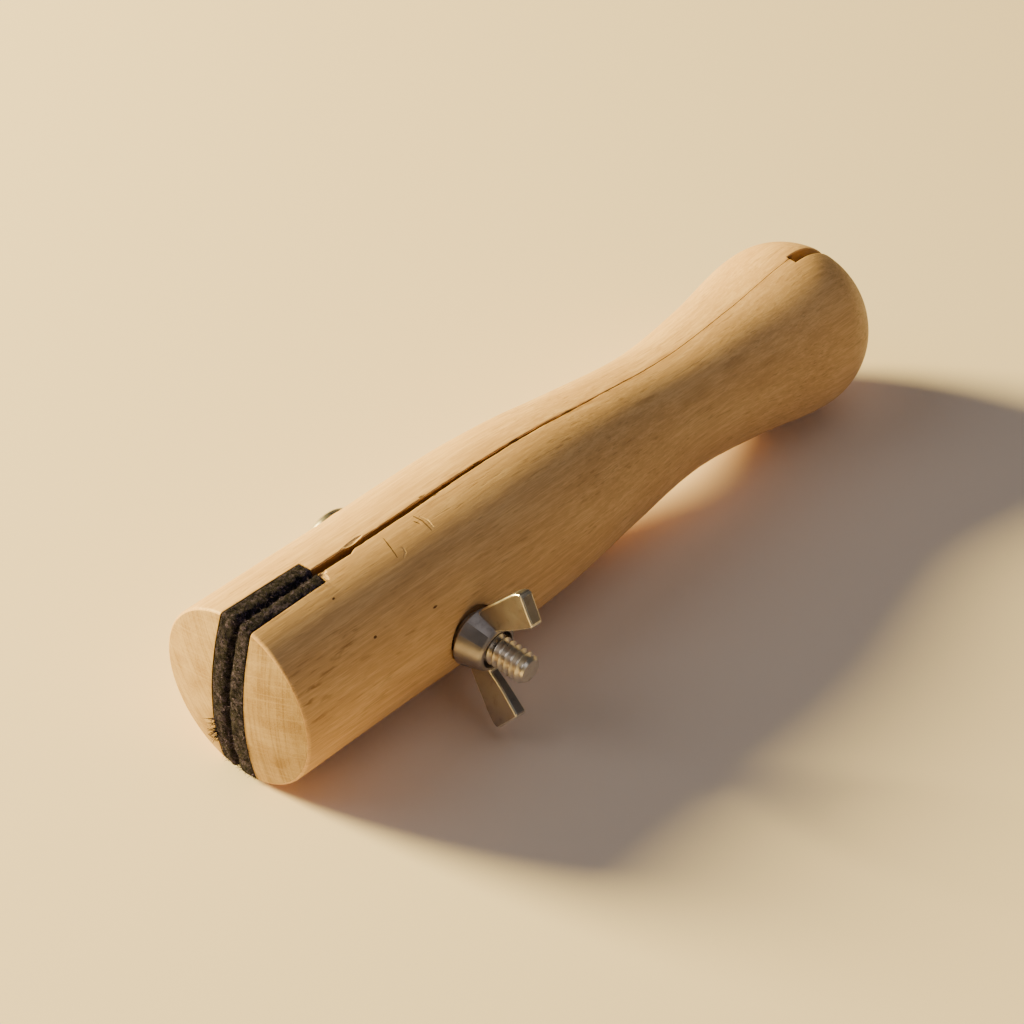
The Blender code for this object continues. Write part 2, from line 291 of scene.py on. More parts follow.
def make_mesh(name, verts, faces, materials, slots=None, sharp=40):
    """An object from millimetre coordinates, shaded smooth but for its sharp edges."""
    mesh = bpy.data.meshes.new(name)
    placed = np.asarray(verts, float) * MM + np.array(ORIGIN)
    mesh.from_pydata(placed.tolist(), [], [list(face) for face in faces])
    obj = add_object(name, mesh)
    for material in materials:
        mesh.materials.append(material)
    if slots is not None:
        mesh.polygons.foreach_set("material_index", slots)
    tidy_mesh(mesh, sharp)
    return obj


def tidy_mesh(mesh, sharp):
    """Turn all faces outwards and mark edges sharp beyond an angle in degrees."""
    bm = bmesh.new()
    bm.from_mesh(mesh)
    bmesh.ops.recalc_face_normals(bm, faces=bm.faces)
    for face in bm.faces:
        face.smooth = True
    for edge in bm.edges:
        turned = edge.calc_face_angle(math.pi) if len(edge.link_faces) == 2 else math.pi
        edge.smooth = turned < math.radians(sharp)
    bm.to_mesh(mesh)
    bm.free()


def apply_modifiers(obj):
    """Replace an object's mesh by what its modifiers make of it."""
    bpy.context.view_layer.update()
    evaluated = obj.evaluated_get(bpy.context.evaluated_depsgraph_get())
    mesh = bpy.data.meshes.new_from_object(evaluated)
    obj.modifiers.clear()
    obj.data = mesh


def combine(target, operation, *tools):
    """Boolean each tool into the target, then drop the tools."""
    for tool in tools:
        cut = target.modifiers.new("cut", "BOOLEAN")
        cut.operation = operation
        cut.solver = "MANIFOLD"
        cut.object = tool
    apply_modifiers(target)
    for tool in tools:
        bpy.data.objects.remove(tool, do_unlink=True)


def polar(radius, angle):
    return radius * math.cos(angle), radius * math.sin(angle)


def fan(first, around, center):
    """Triangles from a ring of vertices to one in its middle."""
    return [(first + i, first + (i + 1) % around, center) for i in range(around)]


def rings_to_faces(rings, around, capped=False):
    """Quads between closed rings of vertices that follow one another."""
    faces = []
    for j in range(rings - 1):
        for i in range(around):
            k = (i + 1) % around
            faces.append(
                (j * around + i, j * around + k, (j + 1) * around + k, (j + 1) * around + i)
            )
    if capped:
        faces += [tuple(range(around)), tuple(range((rings - 1) * around, rings * around))]
    return faces


def lathe(name, profile, materials, axis, steps, slot=0, spread=None):
    """Spin (radius, height) points about an axis, with both ends closed on it.

    A profile that ends where it starts gives a ring. spread(angle, height) adds to the radius.
    """
    rings = [(radius, height) for radius, height in profile if radius > 1e-6]
    angles = np.arange(steps) * math.tau / steps
    verts = []
    for radius, height in rings:
        for angle in angles:
            grow = spread(angle, height) if spread else 0.0
            verts.append((*polar(radius + grow, angle), height))
    faces = rings_to_faces(len(rings), steps)
    if profile[0] == profile[-1]:
        first = (len(rings) - 2) * steps
        following = [(i, (i + 1) % steps) for i in range(steps)]
        faces = faces[:-steps] + [(first + i, first + k, k, i) for i, k in following]
        verts = verts[: first + steps]
    else:
        for ring, height in ((0, profile[0][1]), (len(rings) - 1, profile[-1][1])):
            verts.append((0, 0, height))
            faces += fan(ring * steps, steps, len(verts) - 1)
    turned = [axis @ Vector(vert) for vert in verts]
    return make_mesh(name, turned, faces, materials, [slot] * len(faces))


def rod_profile(radius, low, high):
    return [(0, low), (radius, low), (radius, high), (0, high)]


def from_bmesh(name, bm, materials, slot=0):
    """A mesh object from a bmesh in millimetres."""
    bm.verts.index_update()
    verts = [vert.co[:] for vert in bm.verts]
    faces = [[vert.index for vert in face.verts] for face in bm.faces]
    bm.free()
    return make_mesh(name, verts, faces, materials, [slot] * len(faces))


def blob(materials, center, size, slot, seed, turn=0.0, rough=0.25):
    """A lumpy ellipsoid, for a chip or a pit."""
    bm = bmesh.new()
    bmesh.ops.create_icosphere(bm, subdivisions=3, radius=1)
    spin = Matrix.Rotation(turn, 3, "Z")
    for vert in bm.verts:
        grow = 1 + rough * wobble(vert.co, 0.6, seed) + 0.5 * rough * wobble(vert.co, 0.3, seed)
        vert.co = Vector(center) + spin @ Vector([grow * a * b for a, b in zip(vert.co, size)])
    return from_bmesh("blob", bm, materials, slot)


def circle(center, radius, across, up, steps):
    """Points round a circle in the plane of two directions."""
    angles = [math.tau * k / steps for k in range(steps)]
    return [center + radius * (math.cos(a) * across + math.sin(a) * up) for a in angles]


def tube(name, path, radii, materials, slot, steps):
    """A tube along a path of points, with a radius at each and closed ends."""
    verts = []
    count = len(path)
    side = None
    for i, point in enumerate(path):
        along = (path[min(i + 1, count - 1)] - path[max(i - 1, 0)]).normalized()
        if side is None:
            side = along.orthogonal().normalized()
        side = (side - along * side.dot(along)).normalized()
        up = along.cross(side)
        verts += circle(point, radii[i], side, up, steps)
    faces = rings_to_faces(count, steps, capped=True)
    return make_mesh(name, verts, faces, materials, [slot] * len(faces))


# -------- materials

def make_wood(name, light, middle, dark):
    """Bare turned hardwood: soft growth bands, streaks and short pores along the grain."""
    s = Shader(name, middle)
    blotches = s.noise((0.06, 0.13, 0.13), 3, 0.55)
    bands = s.noise((0.02, 0.55, 0.55), 3, 0.5)
    streaks = s.noise((0.07, 1.9, 1.9), 3, 0.55)
    fibres = s.noise((0.35, 7.0, 7.0), 2, 0.6)
    tone = s.total((blotches, 0.22), (bands, 0.12), (streaks, 0.34), (fibres, 0.32))
    deep = tuple(0.74 * a + 0.26 * b for a, b in zip(middle, dark))
    color = s.ramp(tone, [(0.42, light), (0.505, middle), (0.62, deep)])

    dashes = s.noise((0.28, 3.0, 3.0), 2, 0.55)
    zones = s.noise((0.05, 0.3, 0.3), 2, 0.5)
    pores = s.math("MULTIPLY", s.remap(dashes, 0.57, 0.67), s.remap(zones, 0.36, 0.58, 0.2, 1.0))
    color = s.mix(s.math("MULTIPLY", pores, 0.36), color, dark)
    pale = s.remap(s.noise((0.4, 3.4, 3.4), 1, 0.4), 0.6, 0.74)
    color = s.mix(s.math("MULTIPLY", pale, 0.45), color, light)
    return s, color, fibres, pores


def finish_wood(s, color, fibres, pores, rough_low=0.46, rough_high=0.62, relief=0.35):
    """Colour, sheen and relief of a wood material."""
    handling = s.noise((0.06, 0.12, 0.12), 3, 0.6)
    height = s.math("SUBTRACT", fibres, s.math("MULTIPLY", pores, 0.8))
    coarse = s.bump(s.noise((0.3, 1.3, 1.3), 2), relief, 0.06 * MM)
    return s.finish({
        "Base Color": color,
        "Roughness": s.remap(handling, 0.3, 0.7, rough_low, rough_high),
        "Specular IOR Level": 0.35,
        "Normal": s.bump(height, relief, 0.035 * MM, coarse),
    })


def beech():
    """The turned and handled surface: honey-coloured, with dark streaks and a darker band along
    the seam.
    """
    light, middle, dark = (0.79, 0.505, 0.25), (0.665, 0.4, 0.188), (0.27, 0.128, 0.05)
    s, color, fibres, pores = make_wood("beech_turned", light, middle, dark)

    # Dark streaks, pits and broad shades, with ragged edges
    stretched = s.vector("MULTIPLY", s.place, (0.5, 1.6, 1.6))
    warp = s.node("TexNoise", [("Vector", stretched), ("Scale", 1)])
    shift = s.vector("SUBTRACT", warp.outputs["Color"], (0.5, 0.5, 0.5))
    shift = s.vector("MULTIPLY", shift, (1.1, 1.1, 1.1))
    straight = s.place
    s.place = s.vector("ADD", s.place, shift)
    marks = 0.0
    dark_marks = [       # place along, angle from the top, length, width, strength
        (14.4, -42.6, 2.3, 0.32, 0.5), (13.0, -47.5, 2.0, 0.3, 0.5), (8.3, -53.4, 2.6, 0.4, 0.55),
        (5.4, -56, 2.0, 0.42, 0.65), (3.6, -62, 2.1, 0.4, 0.65), (4.6, -74.8, 2.3, 0.42, 0.5),
        (23.5, -62.6, 1.9, 0.3, 0.4), (17.5, -79.7, 2.2, 0.5, 0.3), (20.7, -69, 1.4, 0.32, 0.35),
        (15, -59, 1.9, 0.34, 0.3), (10.5, -49.5, 1.9, 0.32, 0.4), (6.5, -66, 1.9, 0.38, 0.35),
        (29.0, -57.8, 0.7, 0.3, 0.5), (15.6, -21.2, 0.35, 0.3, 0.6), (17.7, -52.4, 0.3, 0.3, 0.7),
        (58.6, -0.2, 1.6, 0.55, 0.7), (71.3, 0.2, 1.8, 0.5, 0.6), (46.0, 3.0, 2.2, 0.3, 0.35),
        (63.5, -14, 2.4, 0.35, 0.3), (84.0, -24, 4.5, 0.6, 0.3), (98.0, 16, 3.2, 0.4, 0.25),
        (93, -42, 6.5, 1.5, 0.22), (103, -38, 5.0, 1.2, 0.24), (110, -52, 5.0, 1.4, 0.16),
        (26.0, 118, 2.6, 0.5, 0.4), (52.0, 150, 3.0, 0.5, 0.4), (88.0, 96, 2.4, 0.4, 0.35),
        (112, -120, 3.0, 0.5, 0.4), (40, -140, 2.5, 0.5, 0.35),
    ]
    for x, angle, length, width, strength in dark_marks:
        center = tuple(on_body(x, angle))
        mark = s.math("MULTIPLY", s.spot(center, (length, width, width)), strength)
        marks = s.math("MAXIMUM", mark, marks)
    s.place = straight
    color = s.mix(marks, color, (0.24, 0.11, 0.035))

    # A darker, uneven band along the seam's edges, from behind the pads, weaker towards the butt
    place = s.split()
    across = s.math("ABSOLUTE", place["Y"])
    uneven = s.noise((0.25, 0.8, 0.8), 3, 0.6)
    seam = s.remap(across, 0.0, 0.95, 1.0, 0.0)
    behind = s.remap(place["X"], 17.0, 22.0)
    fading = s.remap(place["X"], 70.0, 105.0, 1.0, 0.45)
    seam = s.math("MULTIPLY", seam, s.math("MULTIPLY", behind, fading))
    seam = s.math("MULTIPLY", seam, s.remap(uneven, 0.42, 0.66, 0.08, 0.75))
    color = s.mix(seam, color, (0.34, 0.16, 0.05))
    return finish_wood(s, color, fibres, pores)


def shaded_sawn_wood():
    """Walls of the saw kerf and the bored holes: sawn grain darkened as painted shade, with saw
    marks, and painted light in the open slot at the butt.
    """
    # Painted shade: these walls are made far darker than sawn beech is.
    light, middle, dark = (0.3, 0.17, 0.075), (0.2, 0.105, 0.042), (0.09, 0.042, 0.016)
    s, color, _, pores = make_wood("beech_sawn_painted_shade", light, middle, dark)
    scratches = s.noise((3.5, 0.3, 0.3), 3, 0.7)
    color = s.mix(s.remap(scratches, 0.45, 0.7, 0.0, 0.45), color, dark)
    # Painted light: the walls grow lighter in the open slot at the butt.
    painted_butt_light = s.remap(s.split()["X"], 126.0, 128.0, 0.0, 0.75)
    color = s.mix(painted_butt_light, color, (0.6, 0.36, 0.17))
    return finish_wood(s, color, scratches, pores, 0.7, 0.85, 0.6)


def torn_wood():
    """Splintered wood in a chip or scratch, paler than the handled surface."""
    light, middle, dark = (0.86, 0.6, 0.33), (0.76, 0.49, 0.24), (0.4, 0.21, 0.08)
    s, color, _, pores = make_wood("beech_torn", light, middle, dark)
    splinter = s.noise((0.7, 5.0, 5.0), 3, 0.7)
    color = s.mix(s.remap(splinter, 0.5, 0.75, 0.0, 0.6), color, (0.42, 0.23, 0.09))
    return finish_wood(s, color, splinter, pores, 0.65, 0.8, 0.8)


def end_wood():
    """End grain on the nose: deeper in tone, with faint saw lines that turn between the halves."""
    s = Shader("beech_end", (0.39, 0.245, 0.11))
    mottle = s.noise((0.25, 0.25, 0.25), 3, 0.6)
    dots = s.noise((3.0, 4.5, 4.5), 2, 0.6)
    tone = s.total((mottle, 0.6), (dots, 0.4))
    light, middle, dark = (0.47, 0.315, 0.168), (0.4, 0.258, 0.132), (0.3, 0.178, 0.084)
    color = s.ramp(tone, [(0.38, light), (0.5, middle), (0.64, dark)])
    far = s.remap(s.split()["Y"], -0.5, 0.5)
    upright = s.vector("DOT_PRODUCT", s.place, (0.0, 0.99, -0.12))
    slanted = s.vector("DOT_PRODUCT", s.place, (0.0, 0.74, -0.67))
    level = s.vector("DOT_PRODUCT", s.place, (0.0, 0.3, 0.95))
    across = s.total((slanted, far), (upright, s.math("SUBTRACT", 1.0, far)))
    flat = s.node("CombineXYZ", [("X", across), ("Y", level)]).outputs[0]
    saw = s.noise((2.2, 0.06, 0.0), 3, 0.6, flat)
    cross = s.noise((0.07, 2.6, 0.0), 2, 0.6, flat)
    color = s.mix(s.remap(saw, 0.46, 0.66, 0.0, 0.5), color, (0.2, 0.11, 0.045))
    color = s.mix(s.remap(cross, 0.48, 0.7, 0.0, 0.35), color, (0.55, 0.38, 0.21))
    return s.finish({
        "Base Color": color,
        "Roughness": s.remap(mottle, 0.3, 0.7, 0.6, 0.75),
        "Specular IOR Level": 0.3,
        "Normal": s.bump(s.total((saw, 0.8), (dots, 0.3)), 0.4, 0.05 * MM),
    })


def felt(name="felt_charcoal", lift=1.0):
    """Charcoal felt: matted fibres of several greys, with every colour scaled by lift."""
    def lifted(color):
        return tuple(lift * channel for channel in color)

    s = Shader(name, lifted((0.02, 0.018, 0.025)))
    tangle = s.noise((1.9, 1.9, 1.9), 5, 0.8, distortion=1.0)
    clumps = s.noise((0.8, 0.8, 0.8), 3, 0.6)
    hairs = s.noise((9.0, 2.2, 9.0), 2, 0.6, distortion=2.0)
    tone = s.total((tangle, 0.72), (clumps, 0.28))
    stops = [
        (0.44, (0.001, 0.0008, 0.0015)), (0.51, (0.0095, 0.007, 0.0145)),
        (0.585, (0.066, 0.05, 0.1)),
    ]
    color = s.ramp(tone, [(at, lifted(stop)) for at, stop in stops])
    pale = lifted((0.15, 0.125, 0.235))
    color = s.mix(s.remap(hairs, 0.56, 0.7, 0.0, 0.5), color, pale)
    return s.finish({
        "Base Color": color,
        "Roughness": 0.95,
        "Specular IOR Level": 0.15,
        "Sheen Weight": 0.05,
        "Sheen Roughness": 0.5,
        "Sheen Tint": (0.8, 0.74, 0.68, 1),
        "Normal": s.bump(tangle, 1.0, 0.3 * MM),
    })


def nickel(name, color, rough):
    """Bright metal over a cast or drawn surface, dulled in patches."""
    s = Shader(name, color)
    patches = s.noise((0.35, 0.35, 0.35), 3, 0.6)
    grit = s.noise((5.0, 5.0, 5.0), 3, 0.6)
    lines = s.noise((1.2, 14.0, 1.2), 2, 0.6)
    stain = s.remap(s.noise((0.6, 0.6, 0.6), 4, 0.65), 0.52, 0.72, 0.0, 0.5)
    dull = tuple(0.55 * channel for channel in color)
    tone = s.total((patches, 0.7), (grit, 0.3))
    return s.finish({
        "Base Color": s.mix(stain, color, dull),
        "Metallic": 1,
        "Roughness": s.remap(tone, 0.35, 0.65, rough, rough + 0.16),
        "Normal": s.bump(s.total((grit, 0.6), (lines, 0.3)), 0.14, 0.02 * MM),
    })


# -------- wooden halves

def pad_outer(x, z, side):
    """How far a pad reaches from the seam plane: the saw cut behind each leans a little."""
    if side > 0:
        return 2.98 + 0.01 * z - 0.018 * max(x - 2, 0)
    return 3.3 - 0.042 * z - 0.02 * max(x - 2, 0)


def seam_gap(x, z, side):
    """How far one half's inner face stands from the seam plane."""
    if x < PAD_END + 0.05:
        return pad_outer(x, z, side) + 0.06
    if x > PIN_X + 0.5:
        return BUTT_SLOT[side]
    places, gaps = zip(*KERF[side])
    kerf = np.interp(x, places, gaps)
    rag = 0.08 * wobble((x, 5 * side, 0), 2.2) + 0.05 * wobble((x, 5 * side, 9), 0.8)
    return float(kerf) + rag * min(kerf / 0.3, 1)


def strip_distances(half, count):
    """Places across a strip of twice the given width, close together at both edges."""
    close = [d for d in EDGE_STEPS if d < half * 0.4]
    rest = np.linspace(close[-1], half, count + 1 + len(EDGE_STEPS) - len(close))[1:]
    first = close + list(rest)
    return first + [2 * half - d for d in reversed(first[:-1])]


def half_profile():
    """(Place, radius) pairs along a half, from the rounded rim of the nose to the butt."""
    inner = NOSE_RADIUS - RIM_ROUND
    start = nose_dome(inner) + RIM_ROUND
    profile = [
        (start + RIM_ROUND * math.sin(a), inner + RIM_ROUND * math.cos(a))
        for a in np.radians(np.linspace(-66, -4, 7))
    ]
    spaces = [
        np.arange(start, 16.6, 0.42), np.array([16.6, 16.8, PAD_END, PAD_END + 0.1, 17.15]),
        np.arange(17.3, 30, 0.3), np.arange(30, 90, 0.5), np.arange(90, 124, 0.6),
        np.array([124.2, 124.8, 125.2, 125.45, 125.52, 125.7, 126.0]),
    ]
    xs = np.concatenate(spaces)
    profile += [(float(x), float(r)) for x, r in zip(xs, body_radius(xs))]
    for a in np.radians(np.linspace(0, 81, 30)):
        profile.append((LENGTH - BUTT_CAP + BUTT_CAP * math.sin(a), BULB_RADIUS * math.cos(a)))
    return profile


def edge_wear(x, side, half_arc):
    """How far the edge along the seam is rounded over."""
    wear = 0.2 + 0.09 * wobble((x, 3 * side, 4), 3.0) + 0.05 * wobble((x, 3 * side, 1), 0.9)
    if 70 < x < PIN_X:
        wear *= max(1 - (x - 70) / 35, 0.2)
    if x < PAD_END + 0.1:
        wear = 0.12
    return min(wear, 0.2 * half_arc)


def half_ring(x, radius, side, rim):
    """One closed ring of a half: round the outside from the top, then up the inner face."""
    gap = seam_gap(x, radius, side)
    low_gap = seam_gap(x, -radius, side)
    first = math.asin(gap / radius)
    half_arc = radius * (math.pi - first - math.asin(low_gap / radius)) / 2
    wear = edge_wear(x, side, half_arc)
    ring = []
    for d in strip_distances(half_arc, OUTER_STEPS):
        angle = first + d / radius
        edge = min(d, 2 * half_arc - d)
        drop = 0.0
        if edge < wear:
            drop = wear - math.sqrt(max(wear**2 - (wear - edge) ** 2, 0))
        at = (x, radius * math.sin(angle) * side, radius * math.cos(angle))
        drop -= 0.045 * wobble(at, 11) + 0.018 * wobble(at, 3.5)
        reach = radius - drop
        ring.append((x, side * reach * math.sin(angle), reach * math.cos(angle)))
    top, bottom = ring[0][2], ring[-1][2]
    rough = 0.03 if x < 60 else 0.012
    nose_end = 6
    for d in strip_distances((top - bottom) / 2, WALL_STEPS)[1:-1]:
        z = bottom + d
        lean = (z - bottom) / (top - bottom)
        y = low_gap + (gap - low_gap) * lean + rough * wobble((x * 2.5, side * 9, z * 0.4), 1.0)
        at_x = x
        if x < nose_end:
            dome = nose_dome(math.hypot(gap, z))
            at_x = dome + (x - dome) * max((x - rim) / (nose_end - rim), 0)
        ring.append((at_x, side * y, z))
    return ring


def make_half(name, side, woods):
    """One half of the turned body, with its rough inner face, as one closed mesh."""
    profile = half_profile()
    body = [half_ring(x, radius, side, profile[0][0]) for x, radius in profile]

    middle = np.mean([vert[1:] for vert in body[0]], axis=0)
    nose = []
    for k in (0.08, 0.2, 0.34, 0.48, 0.62, 0.74, 0.84, 0.92, 0.97):
        ring = []
        for _, y, z in body[0]:
            py, pz = middle + (np.array((y, z)) - middle) * k
            bow = 0.02 * wobble((0, py, pz), 3.0)
            ring.append((nose_dome(math.hypot(py, pz)) + bow, py, pz))
        nose.append(ring)
    rings = nose + body
    around = len(body[0])
    verts = [vert for ring in rings for vert in ring]
    faces = rings_to_faces(len(rings), around)
    outside = 2 * (OUTER_STEPS + len(EDGE_STEPS)) - 2
    slots = [END_GRAIN] * (len(nose) * around)
    slots += ([TURNED] * outside + [SAWN_SHADED] * (around - outside)) * (len(body) - 1)

    verts.append((nose_dome(np.hypot(*middle)), *middle))
    faces += fan(0, around, len(verts) - 1)
    tail = np.mean(body[-1], axis=0)
    verts.append((LENGTH - 0.06, tail[1], tail[2]))
    faces += fan((len(rings) - 1) * around, around, len(verts) - 1)
    slots += [END_GRAIN] * around + [TURNED] * around
    return make_mesh(name, verts, faces, woods, slots)


def bolt_tools(side, woods):
    """What the bolt, spring, head and nut need cut out of one half."""
    def rough(angle, height):
        return 0.06 * wobble((*polar(1, angle), height), 0.5, side)

    if side > 0:
        seat = [(0, 13.6), (6, 13.6), (6.05, 20), (0, 20)]
        return [
            lathe("hole", rod_profile(2.7, -1, 30), woods, ALONG_HEAD, 48, SAWN_SHADED),
            lathe("bore", rod_profile(4.3, -1, 6), woods, ALONG_HEAD, 48, SAWN_SHADED),
            lathe("seat", seat, woods, ALONG_HEAD, 72, SAWN_SHADED, rough),
        ]
    seat = [(0, 13.2), (4.54, 13.2), (4.56, 20), (0, 20)]
    return [
        make_slot(2.79, 1.0, woods),
        lathe("bore", rod_profile(4.9, -1, 6), woods, ALONG_BOLT, 48, SAWN_SHADED),
        lathe("seat", seat, woods, ALONG_BOLT, 96, TURNED, rough),
    ]


def make_slot(radius, extra, woods):
    """A round hole along the bolt, drawn out towards the nose for the half that rocks."""
    angles = np.radians(np.arange(-90, 91, 10))
    outline = [polar(radius, a) for a in angles]
    outline += [(-extra - x, -y) for x, y in outline]
    verts = [ALONG_BOLT @ Vector((x, y, h)) for h in (-1, 30) for x, y in outline]
    faces = rings_to_faces(2, len(outline), capped=True)
    return make_mesh("slot", verts, faces, woods, [SAWN_SHADED] * len(faces))


def scratch(woods, points, width, depth, slot):
    """A shallow groove through points given as (place along the tool, angle from the top)."""
    path = []
    for (x0, a0), (x1, a1) in zip(points, points[1:]):
        for t in np.linspace(0, 1, 7)[:-1]:
            path.append((x0 + (x1 - x0) * t, a0 + (a1 - a0) * t))
    path.append(points[-1])
    centers = []
    radii = []
    for i, (x, angle) in enumerate(path):
        fade = math.sin(math.pi * (i + 0.35) / (len(path) - 0.3))
        radius = width * (0.6 + 0.4 * fade)
        jitter = 0.05 * wobble((x, angle, 2), 0.7)
        centers.append(on_body(x + jitter, angle, radius - depth * (0.3 + 0.7 * fade)))
        radii.append(radius)
    return tube("scratch", centers, radii, woods, slot, 10)


# Chips out of the seam's edge: center, size, slot, seed, then turn and roughness.
CHIPS = {
    1: [
        ((25.2, 0.75, 14.35), (2.5, 0.55, 0.5), TORN, 1, 0.04),
        ((28.3, 0.95, 14.42), (1.9, 0.34, 0.3), TORN, 2, 0.02),
        ((31.4, 1.0, 14.45), (2.2, 0.4, 0.28), TORN, 3, 0.05),
        ((34.2, 0.85, 14.5), (1.2, 0.28, 0.28), TORN, 4),
        ((39.0, 0.6, 14.5), (1.5, 0.3, 0.26), SAWN_SHADED, 5),
        ((22.9, 0.7, 14.3), (1.1, 0.3, 0.26), SAWN_SHADED, 6),
    ],
    -1: [
        ((17.35, -1.5, 14.15), (0.55, 1.1, 0.4), TORN, 7, 0.1, 0.4),
        ((17.9, -0.8, 14.15), (0.5, 0.5, 0.35), TORN, 8, 0.4, 0.4),
        ((41.0, -0.5, 14.5), (1.2, 0.25, 0.26), SAWN_SHADED, 9),
    ],
}
# On the near half. Scratches: path, width, depth, slot. Pits: place, angle, size, seed.
SCRATCHES = [
    ([(28.9, -7), (28.6, -13), (28.1, -22)], 0.13, 0.1, SAWN_SHADED),
    ([(30.0, -19), (29.7, -22), (28.9, -24)], 0.24, 0.08, TORN),
    ([(35.3, -6), (35.7, -12), (35.6, -20)], 0.14, 0.11, SAWN_SHADED),
    ([(34.6, -9), (35.0, -12.5)], 0.12, 0.08, SAWN_SHADED),
    ([(36.0, -8), (36.35, -13), (36.2, -19)], 0.26, 0.08, TORN),
]
PITS = [
    (17.7, -52.4, (0.28, 0.22, 0.2), 10),
    (29.0, -57.8, (0.4, 0.16, 0.14), 11),
    (15.6, -21.2, (0.24, 0.18, 0.12), 12),
]
# Dark spots on the seam, cut into both halves: place, size, seed.
SEAM_SPOTS = [
    ((58.6, 0.1, 14.0), (1.3, 0.2, 0.3), 13),
    ((71.3, 0.1, 12.95), (1.2, 0.15, 0.26), 15),
    ((50.5, 0.1, 14.35), (1.1, 0.26, 0.3), 17),
    ((80.5, 0.05, 12.0), (1.1, 0.12, 0.2), 19),
]


def chips(side, woods):
    """Tear-out along the seam's edge, scratches and pits."""
    tools = [blob(woods, *chip) for chip in CHIPS[side]]
    if side < 0:
        tools += [scratch(woods, *line) for line in SCRATCHES]
        for x, angle, size, seed in PITS:
            tools.append(blob(woods, on_body(x, angle), size, SAWN_SHADED, seed))
    for (x, y, z), size, seed in SEAM_SPOTS:
        tools.append(blob(woods, (x, y * side, z), size, SAWN_SHADED, seed + side))
    return tools


def build_halves(woods):
    """Both halves, with their holes, seats and marks."""
    for side, label in ((1, "far"), (-1, "near")):
        half = make_half(label + "_half_turned", side, woods)
        pin_hole = rod_profile(1.62, -12.15, 12.15)
        tools = [lathe("pin_hole", pin_hole, woods, UPRIGHT, 48, SAWN_SHADED)]
        tools += bolt_tools(side, woods) + chips(side, woods)
        combine(half, "DIFFERENCE", *tools)
        tidy_mesh(half.data, 40)
        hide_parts(label + "_jaw")
        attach(half, label + "_half")


# -------- felt pads

def build_pad(side, felts):
    """Felt lining with rounded inner edges, lumpy faces and loose fibres."""
    label = "far" if side > 0 else "near"
    outline = [(0, 0)] + [(r, nose_dome(r)) for r in np.linspace(1.5, 13.7, 12)]
    outline += [(14.0, 2.35), (PAD_RADIUS, 2.8), (PAD_RADIUS, PAD_END), (0, PAD_END)]
    along_body = Matrix.Rotation(math.radians(90), 4, "Y")
    pad = lathe(label + "_felt_pad", outline, felts[:1], along_body, 96)
    verts = []
    for x in (-1, 18):
        for z in (-16, 16):
            verts += [(x, PAD_FACE * side, z), (x, side * pad_outer(x, z, side), z)]
    faces = [(0, 1, 3, 2), (4, 5, 7, 6), (0, 1, 5, 4), (2, 3, 7, 6), (0, 2, 6, 4), (1, 3, 7, 5)]
    combine(pad, "INTERSECT", make_mesh("slab", verts, faces, felts[:1]))
    remesh = pad.modifiers.new("even", "REMESH")
    remesh.mode = "VOXEL"
    remesh.voxel_size = 0.26 * MM
    apply_modifiers(pad)
    shape_felt(pad, side)
    pad.data.materials.clear()
    for material in felts:
        pad.data.materials.append(material)
    add_fibres(pad, side, felts)
    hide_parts(label + "_pad")
    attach(pad, label + "_half")


def shape_felt(pad, side):
    """Round the pad's inner edges and give every face a felted, uneven surface."""
    mesh = pad.data
    mesh.update()

    def read(name):
        values = np.empty(len(mesh.vertices) * 3)
        mesh.vertices.foreach_get(name, values)
        return values.reshape(-1, 3)

    coords = (read("co") - np.array(ORIGIN)) / MM
    normals = read("normal")
    for i, (x, y, z) in enumerate(coords):
        reach = math.hypot(y, z)
        from_rim = PAD_RADIUS - reach
        from_nose = x - nose_dome(reach)
        inset = side * y - PAD_FACE
        u, v = PAD_ROUND - inset, PAD_ROUND - min(from_rim, from_nose)
        if u > 0 and v > 0 and math.hypot(u, v) > PAD_ROUND:
            shrink = PAD_ROUND / math.hypot(u, v)
            y += side * u * (1 - shrink)
            if from_rim < from_nose:
                push = v * (1 - shrink) / max(reach, 1)
                y -= y * push
                z -= z * push
            else:
                x += v * (1 - shrink)
        at = Vector((x, y, z))
        lump = 0.13 * wobble(at, 2.2, side) + 0.17 * wobble(at, 0.9, side) + 0.13 * wobble(at, 0.5)
        free = min(max((pad_outer(x, z, side) - side * y) / 0.5, 0.25), 1)
        coords[i] = at + Vector(normals[i]) * (lump * free - 0.02)
    mesh.vertices.foreach_set("co", (coords * MM + np.array(ORIGIN)).ravel())
    mesh.update()


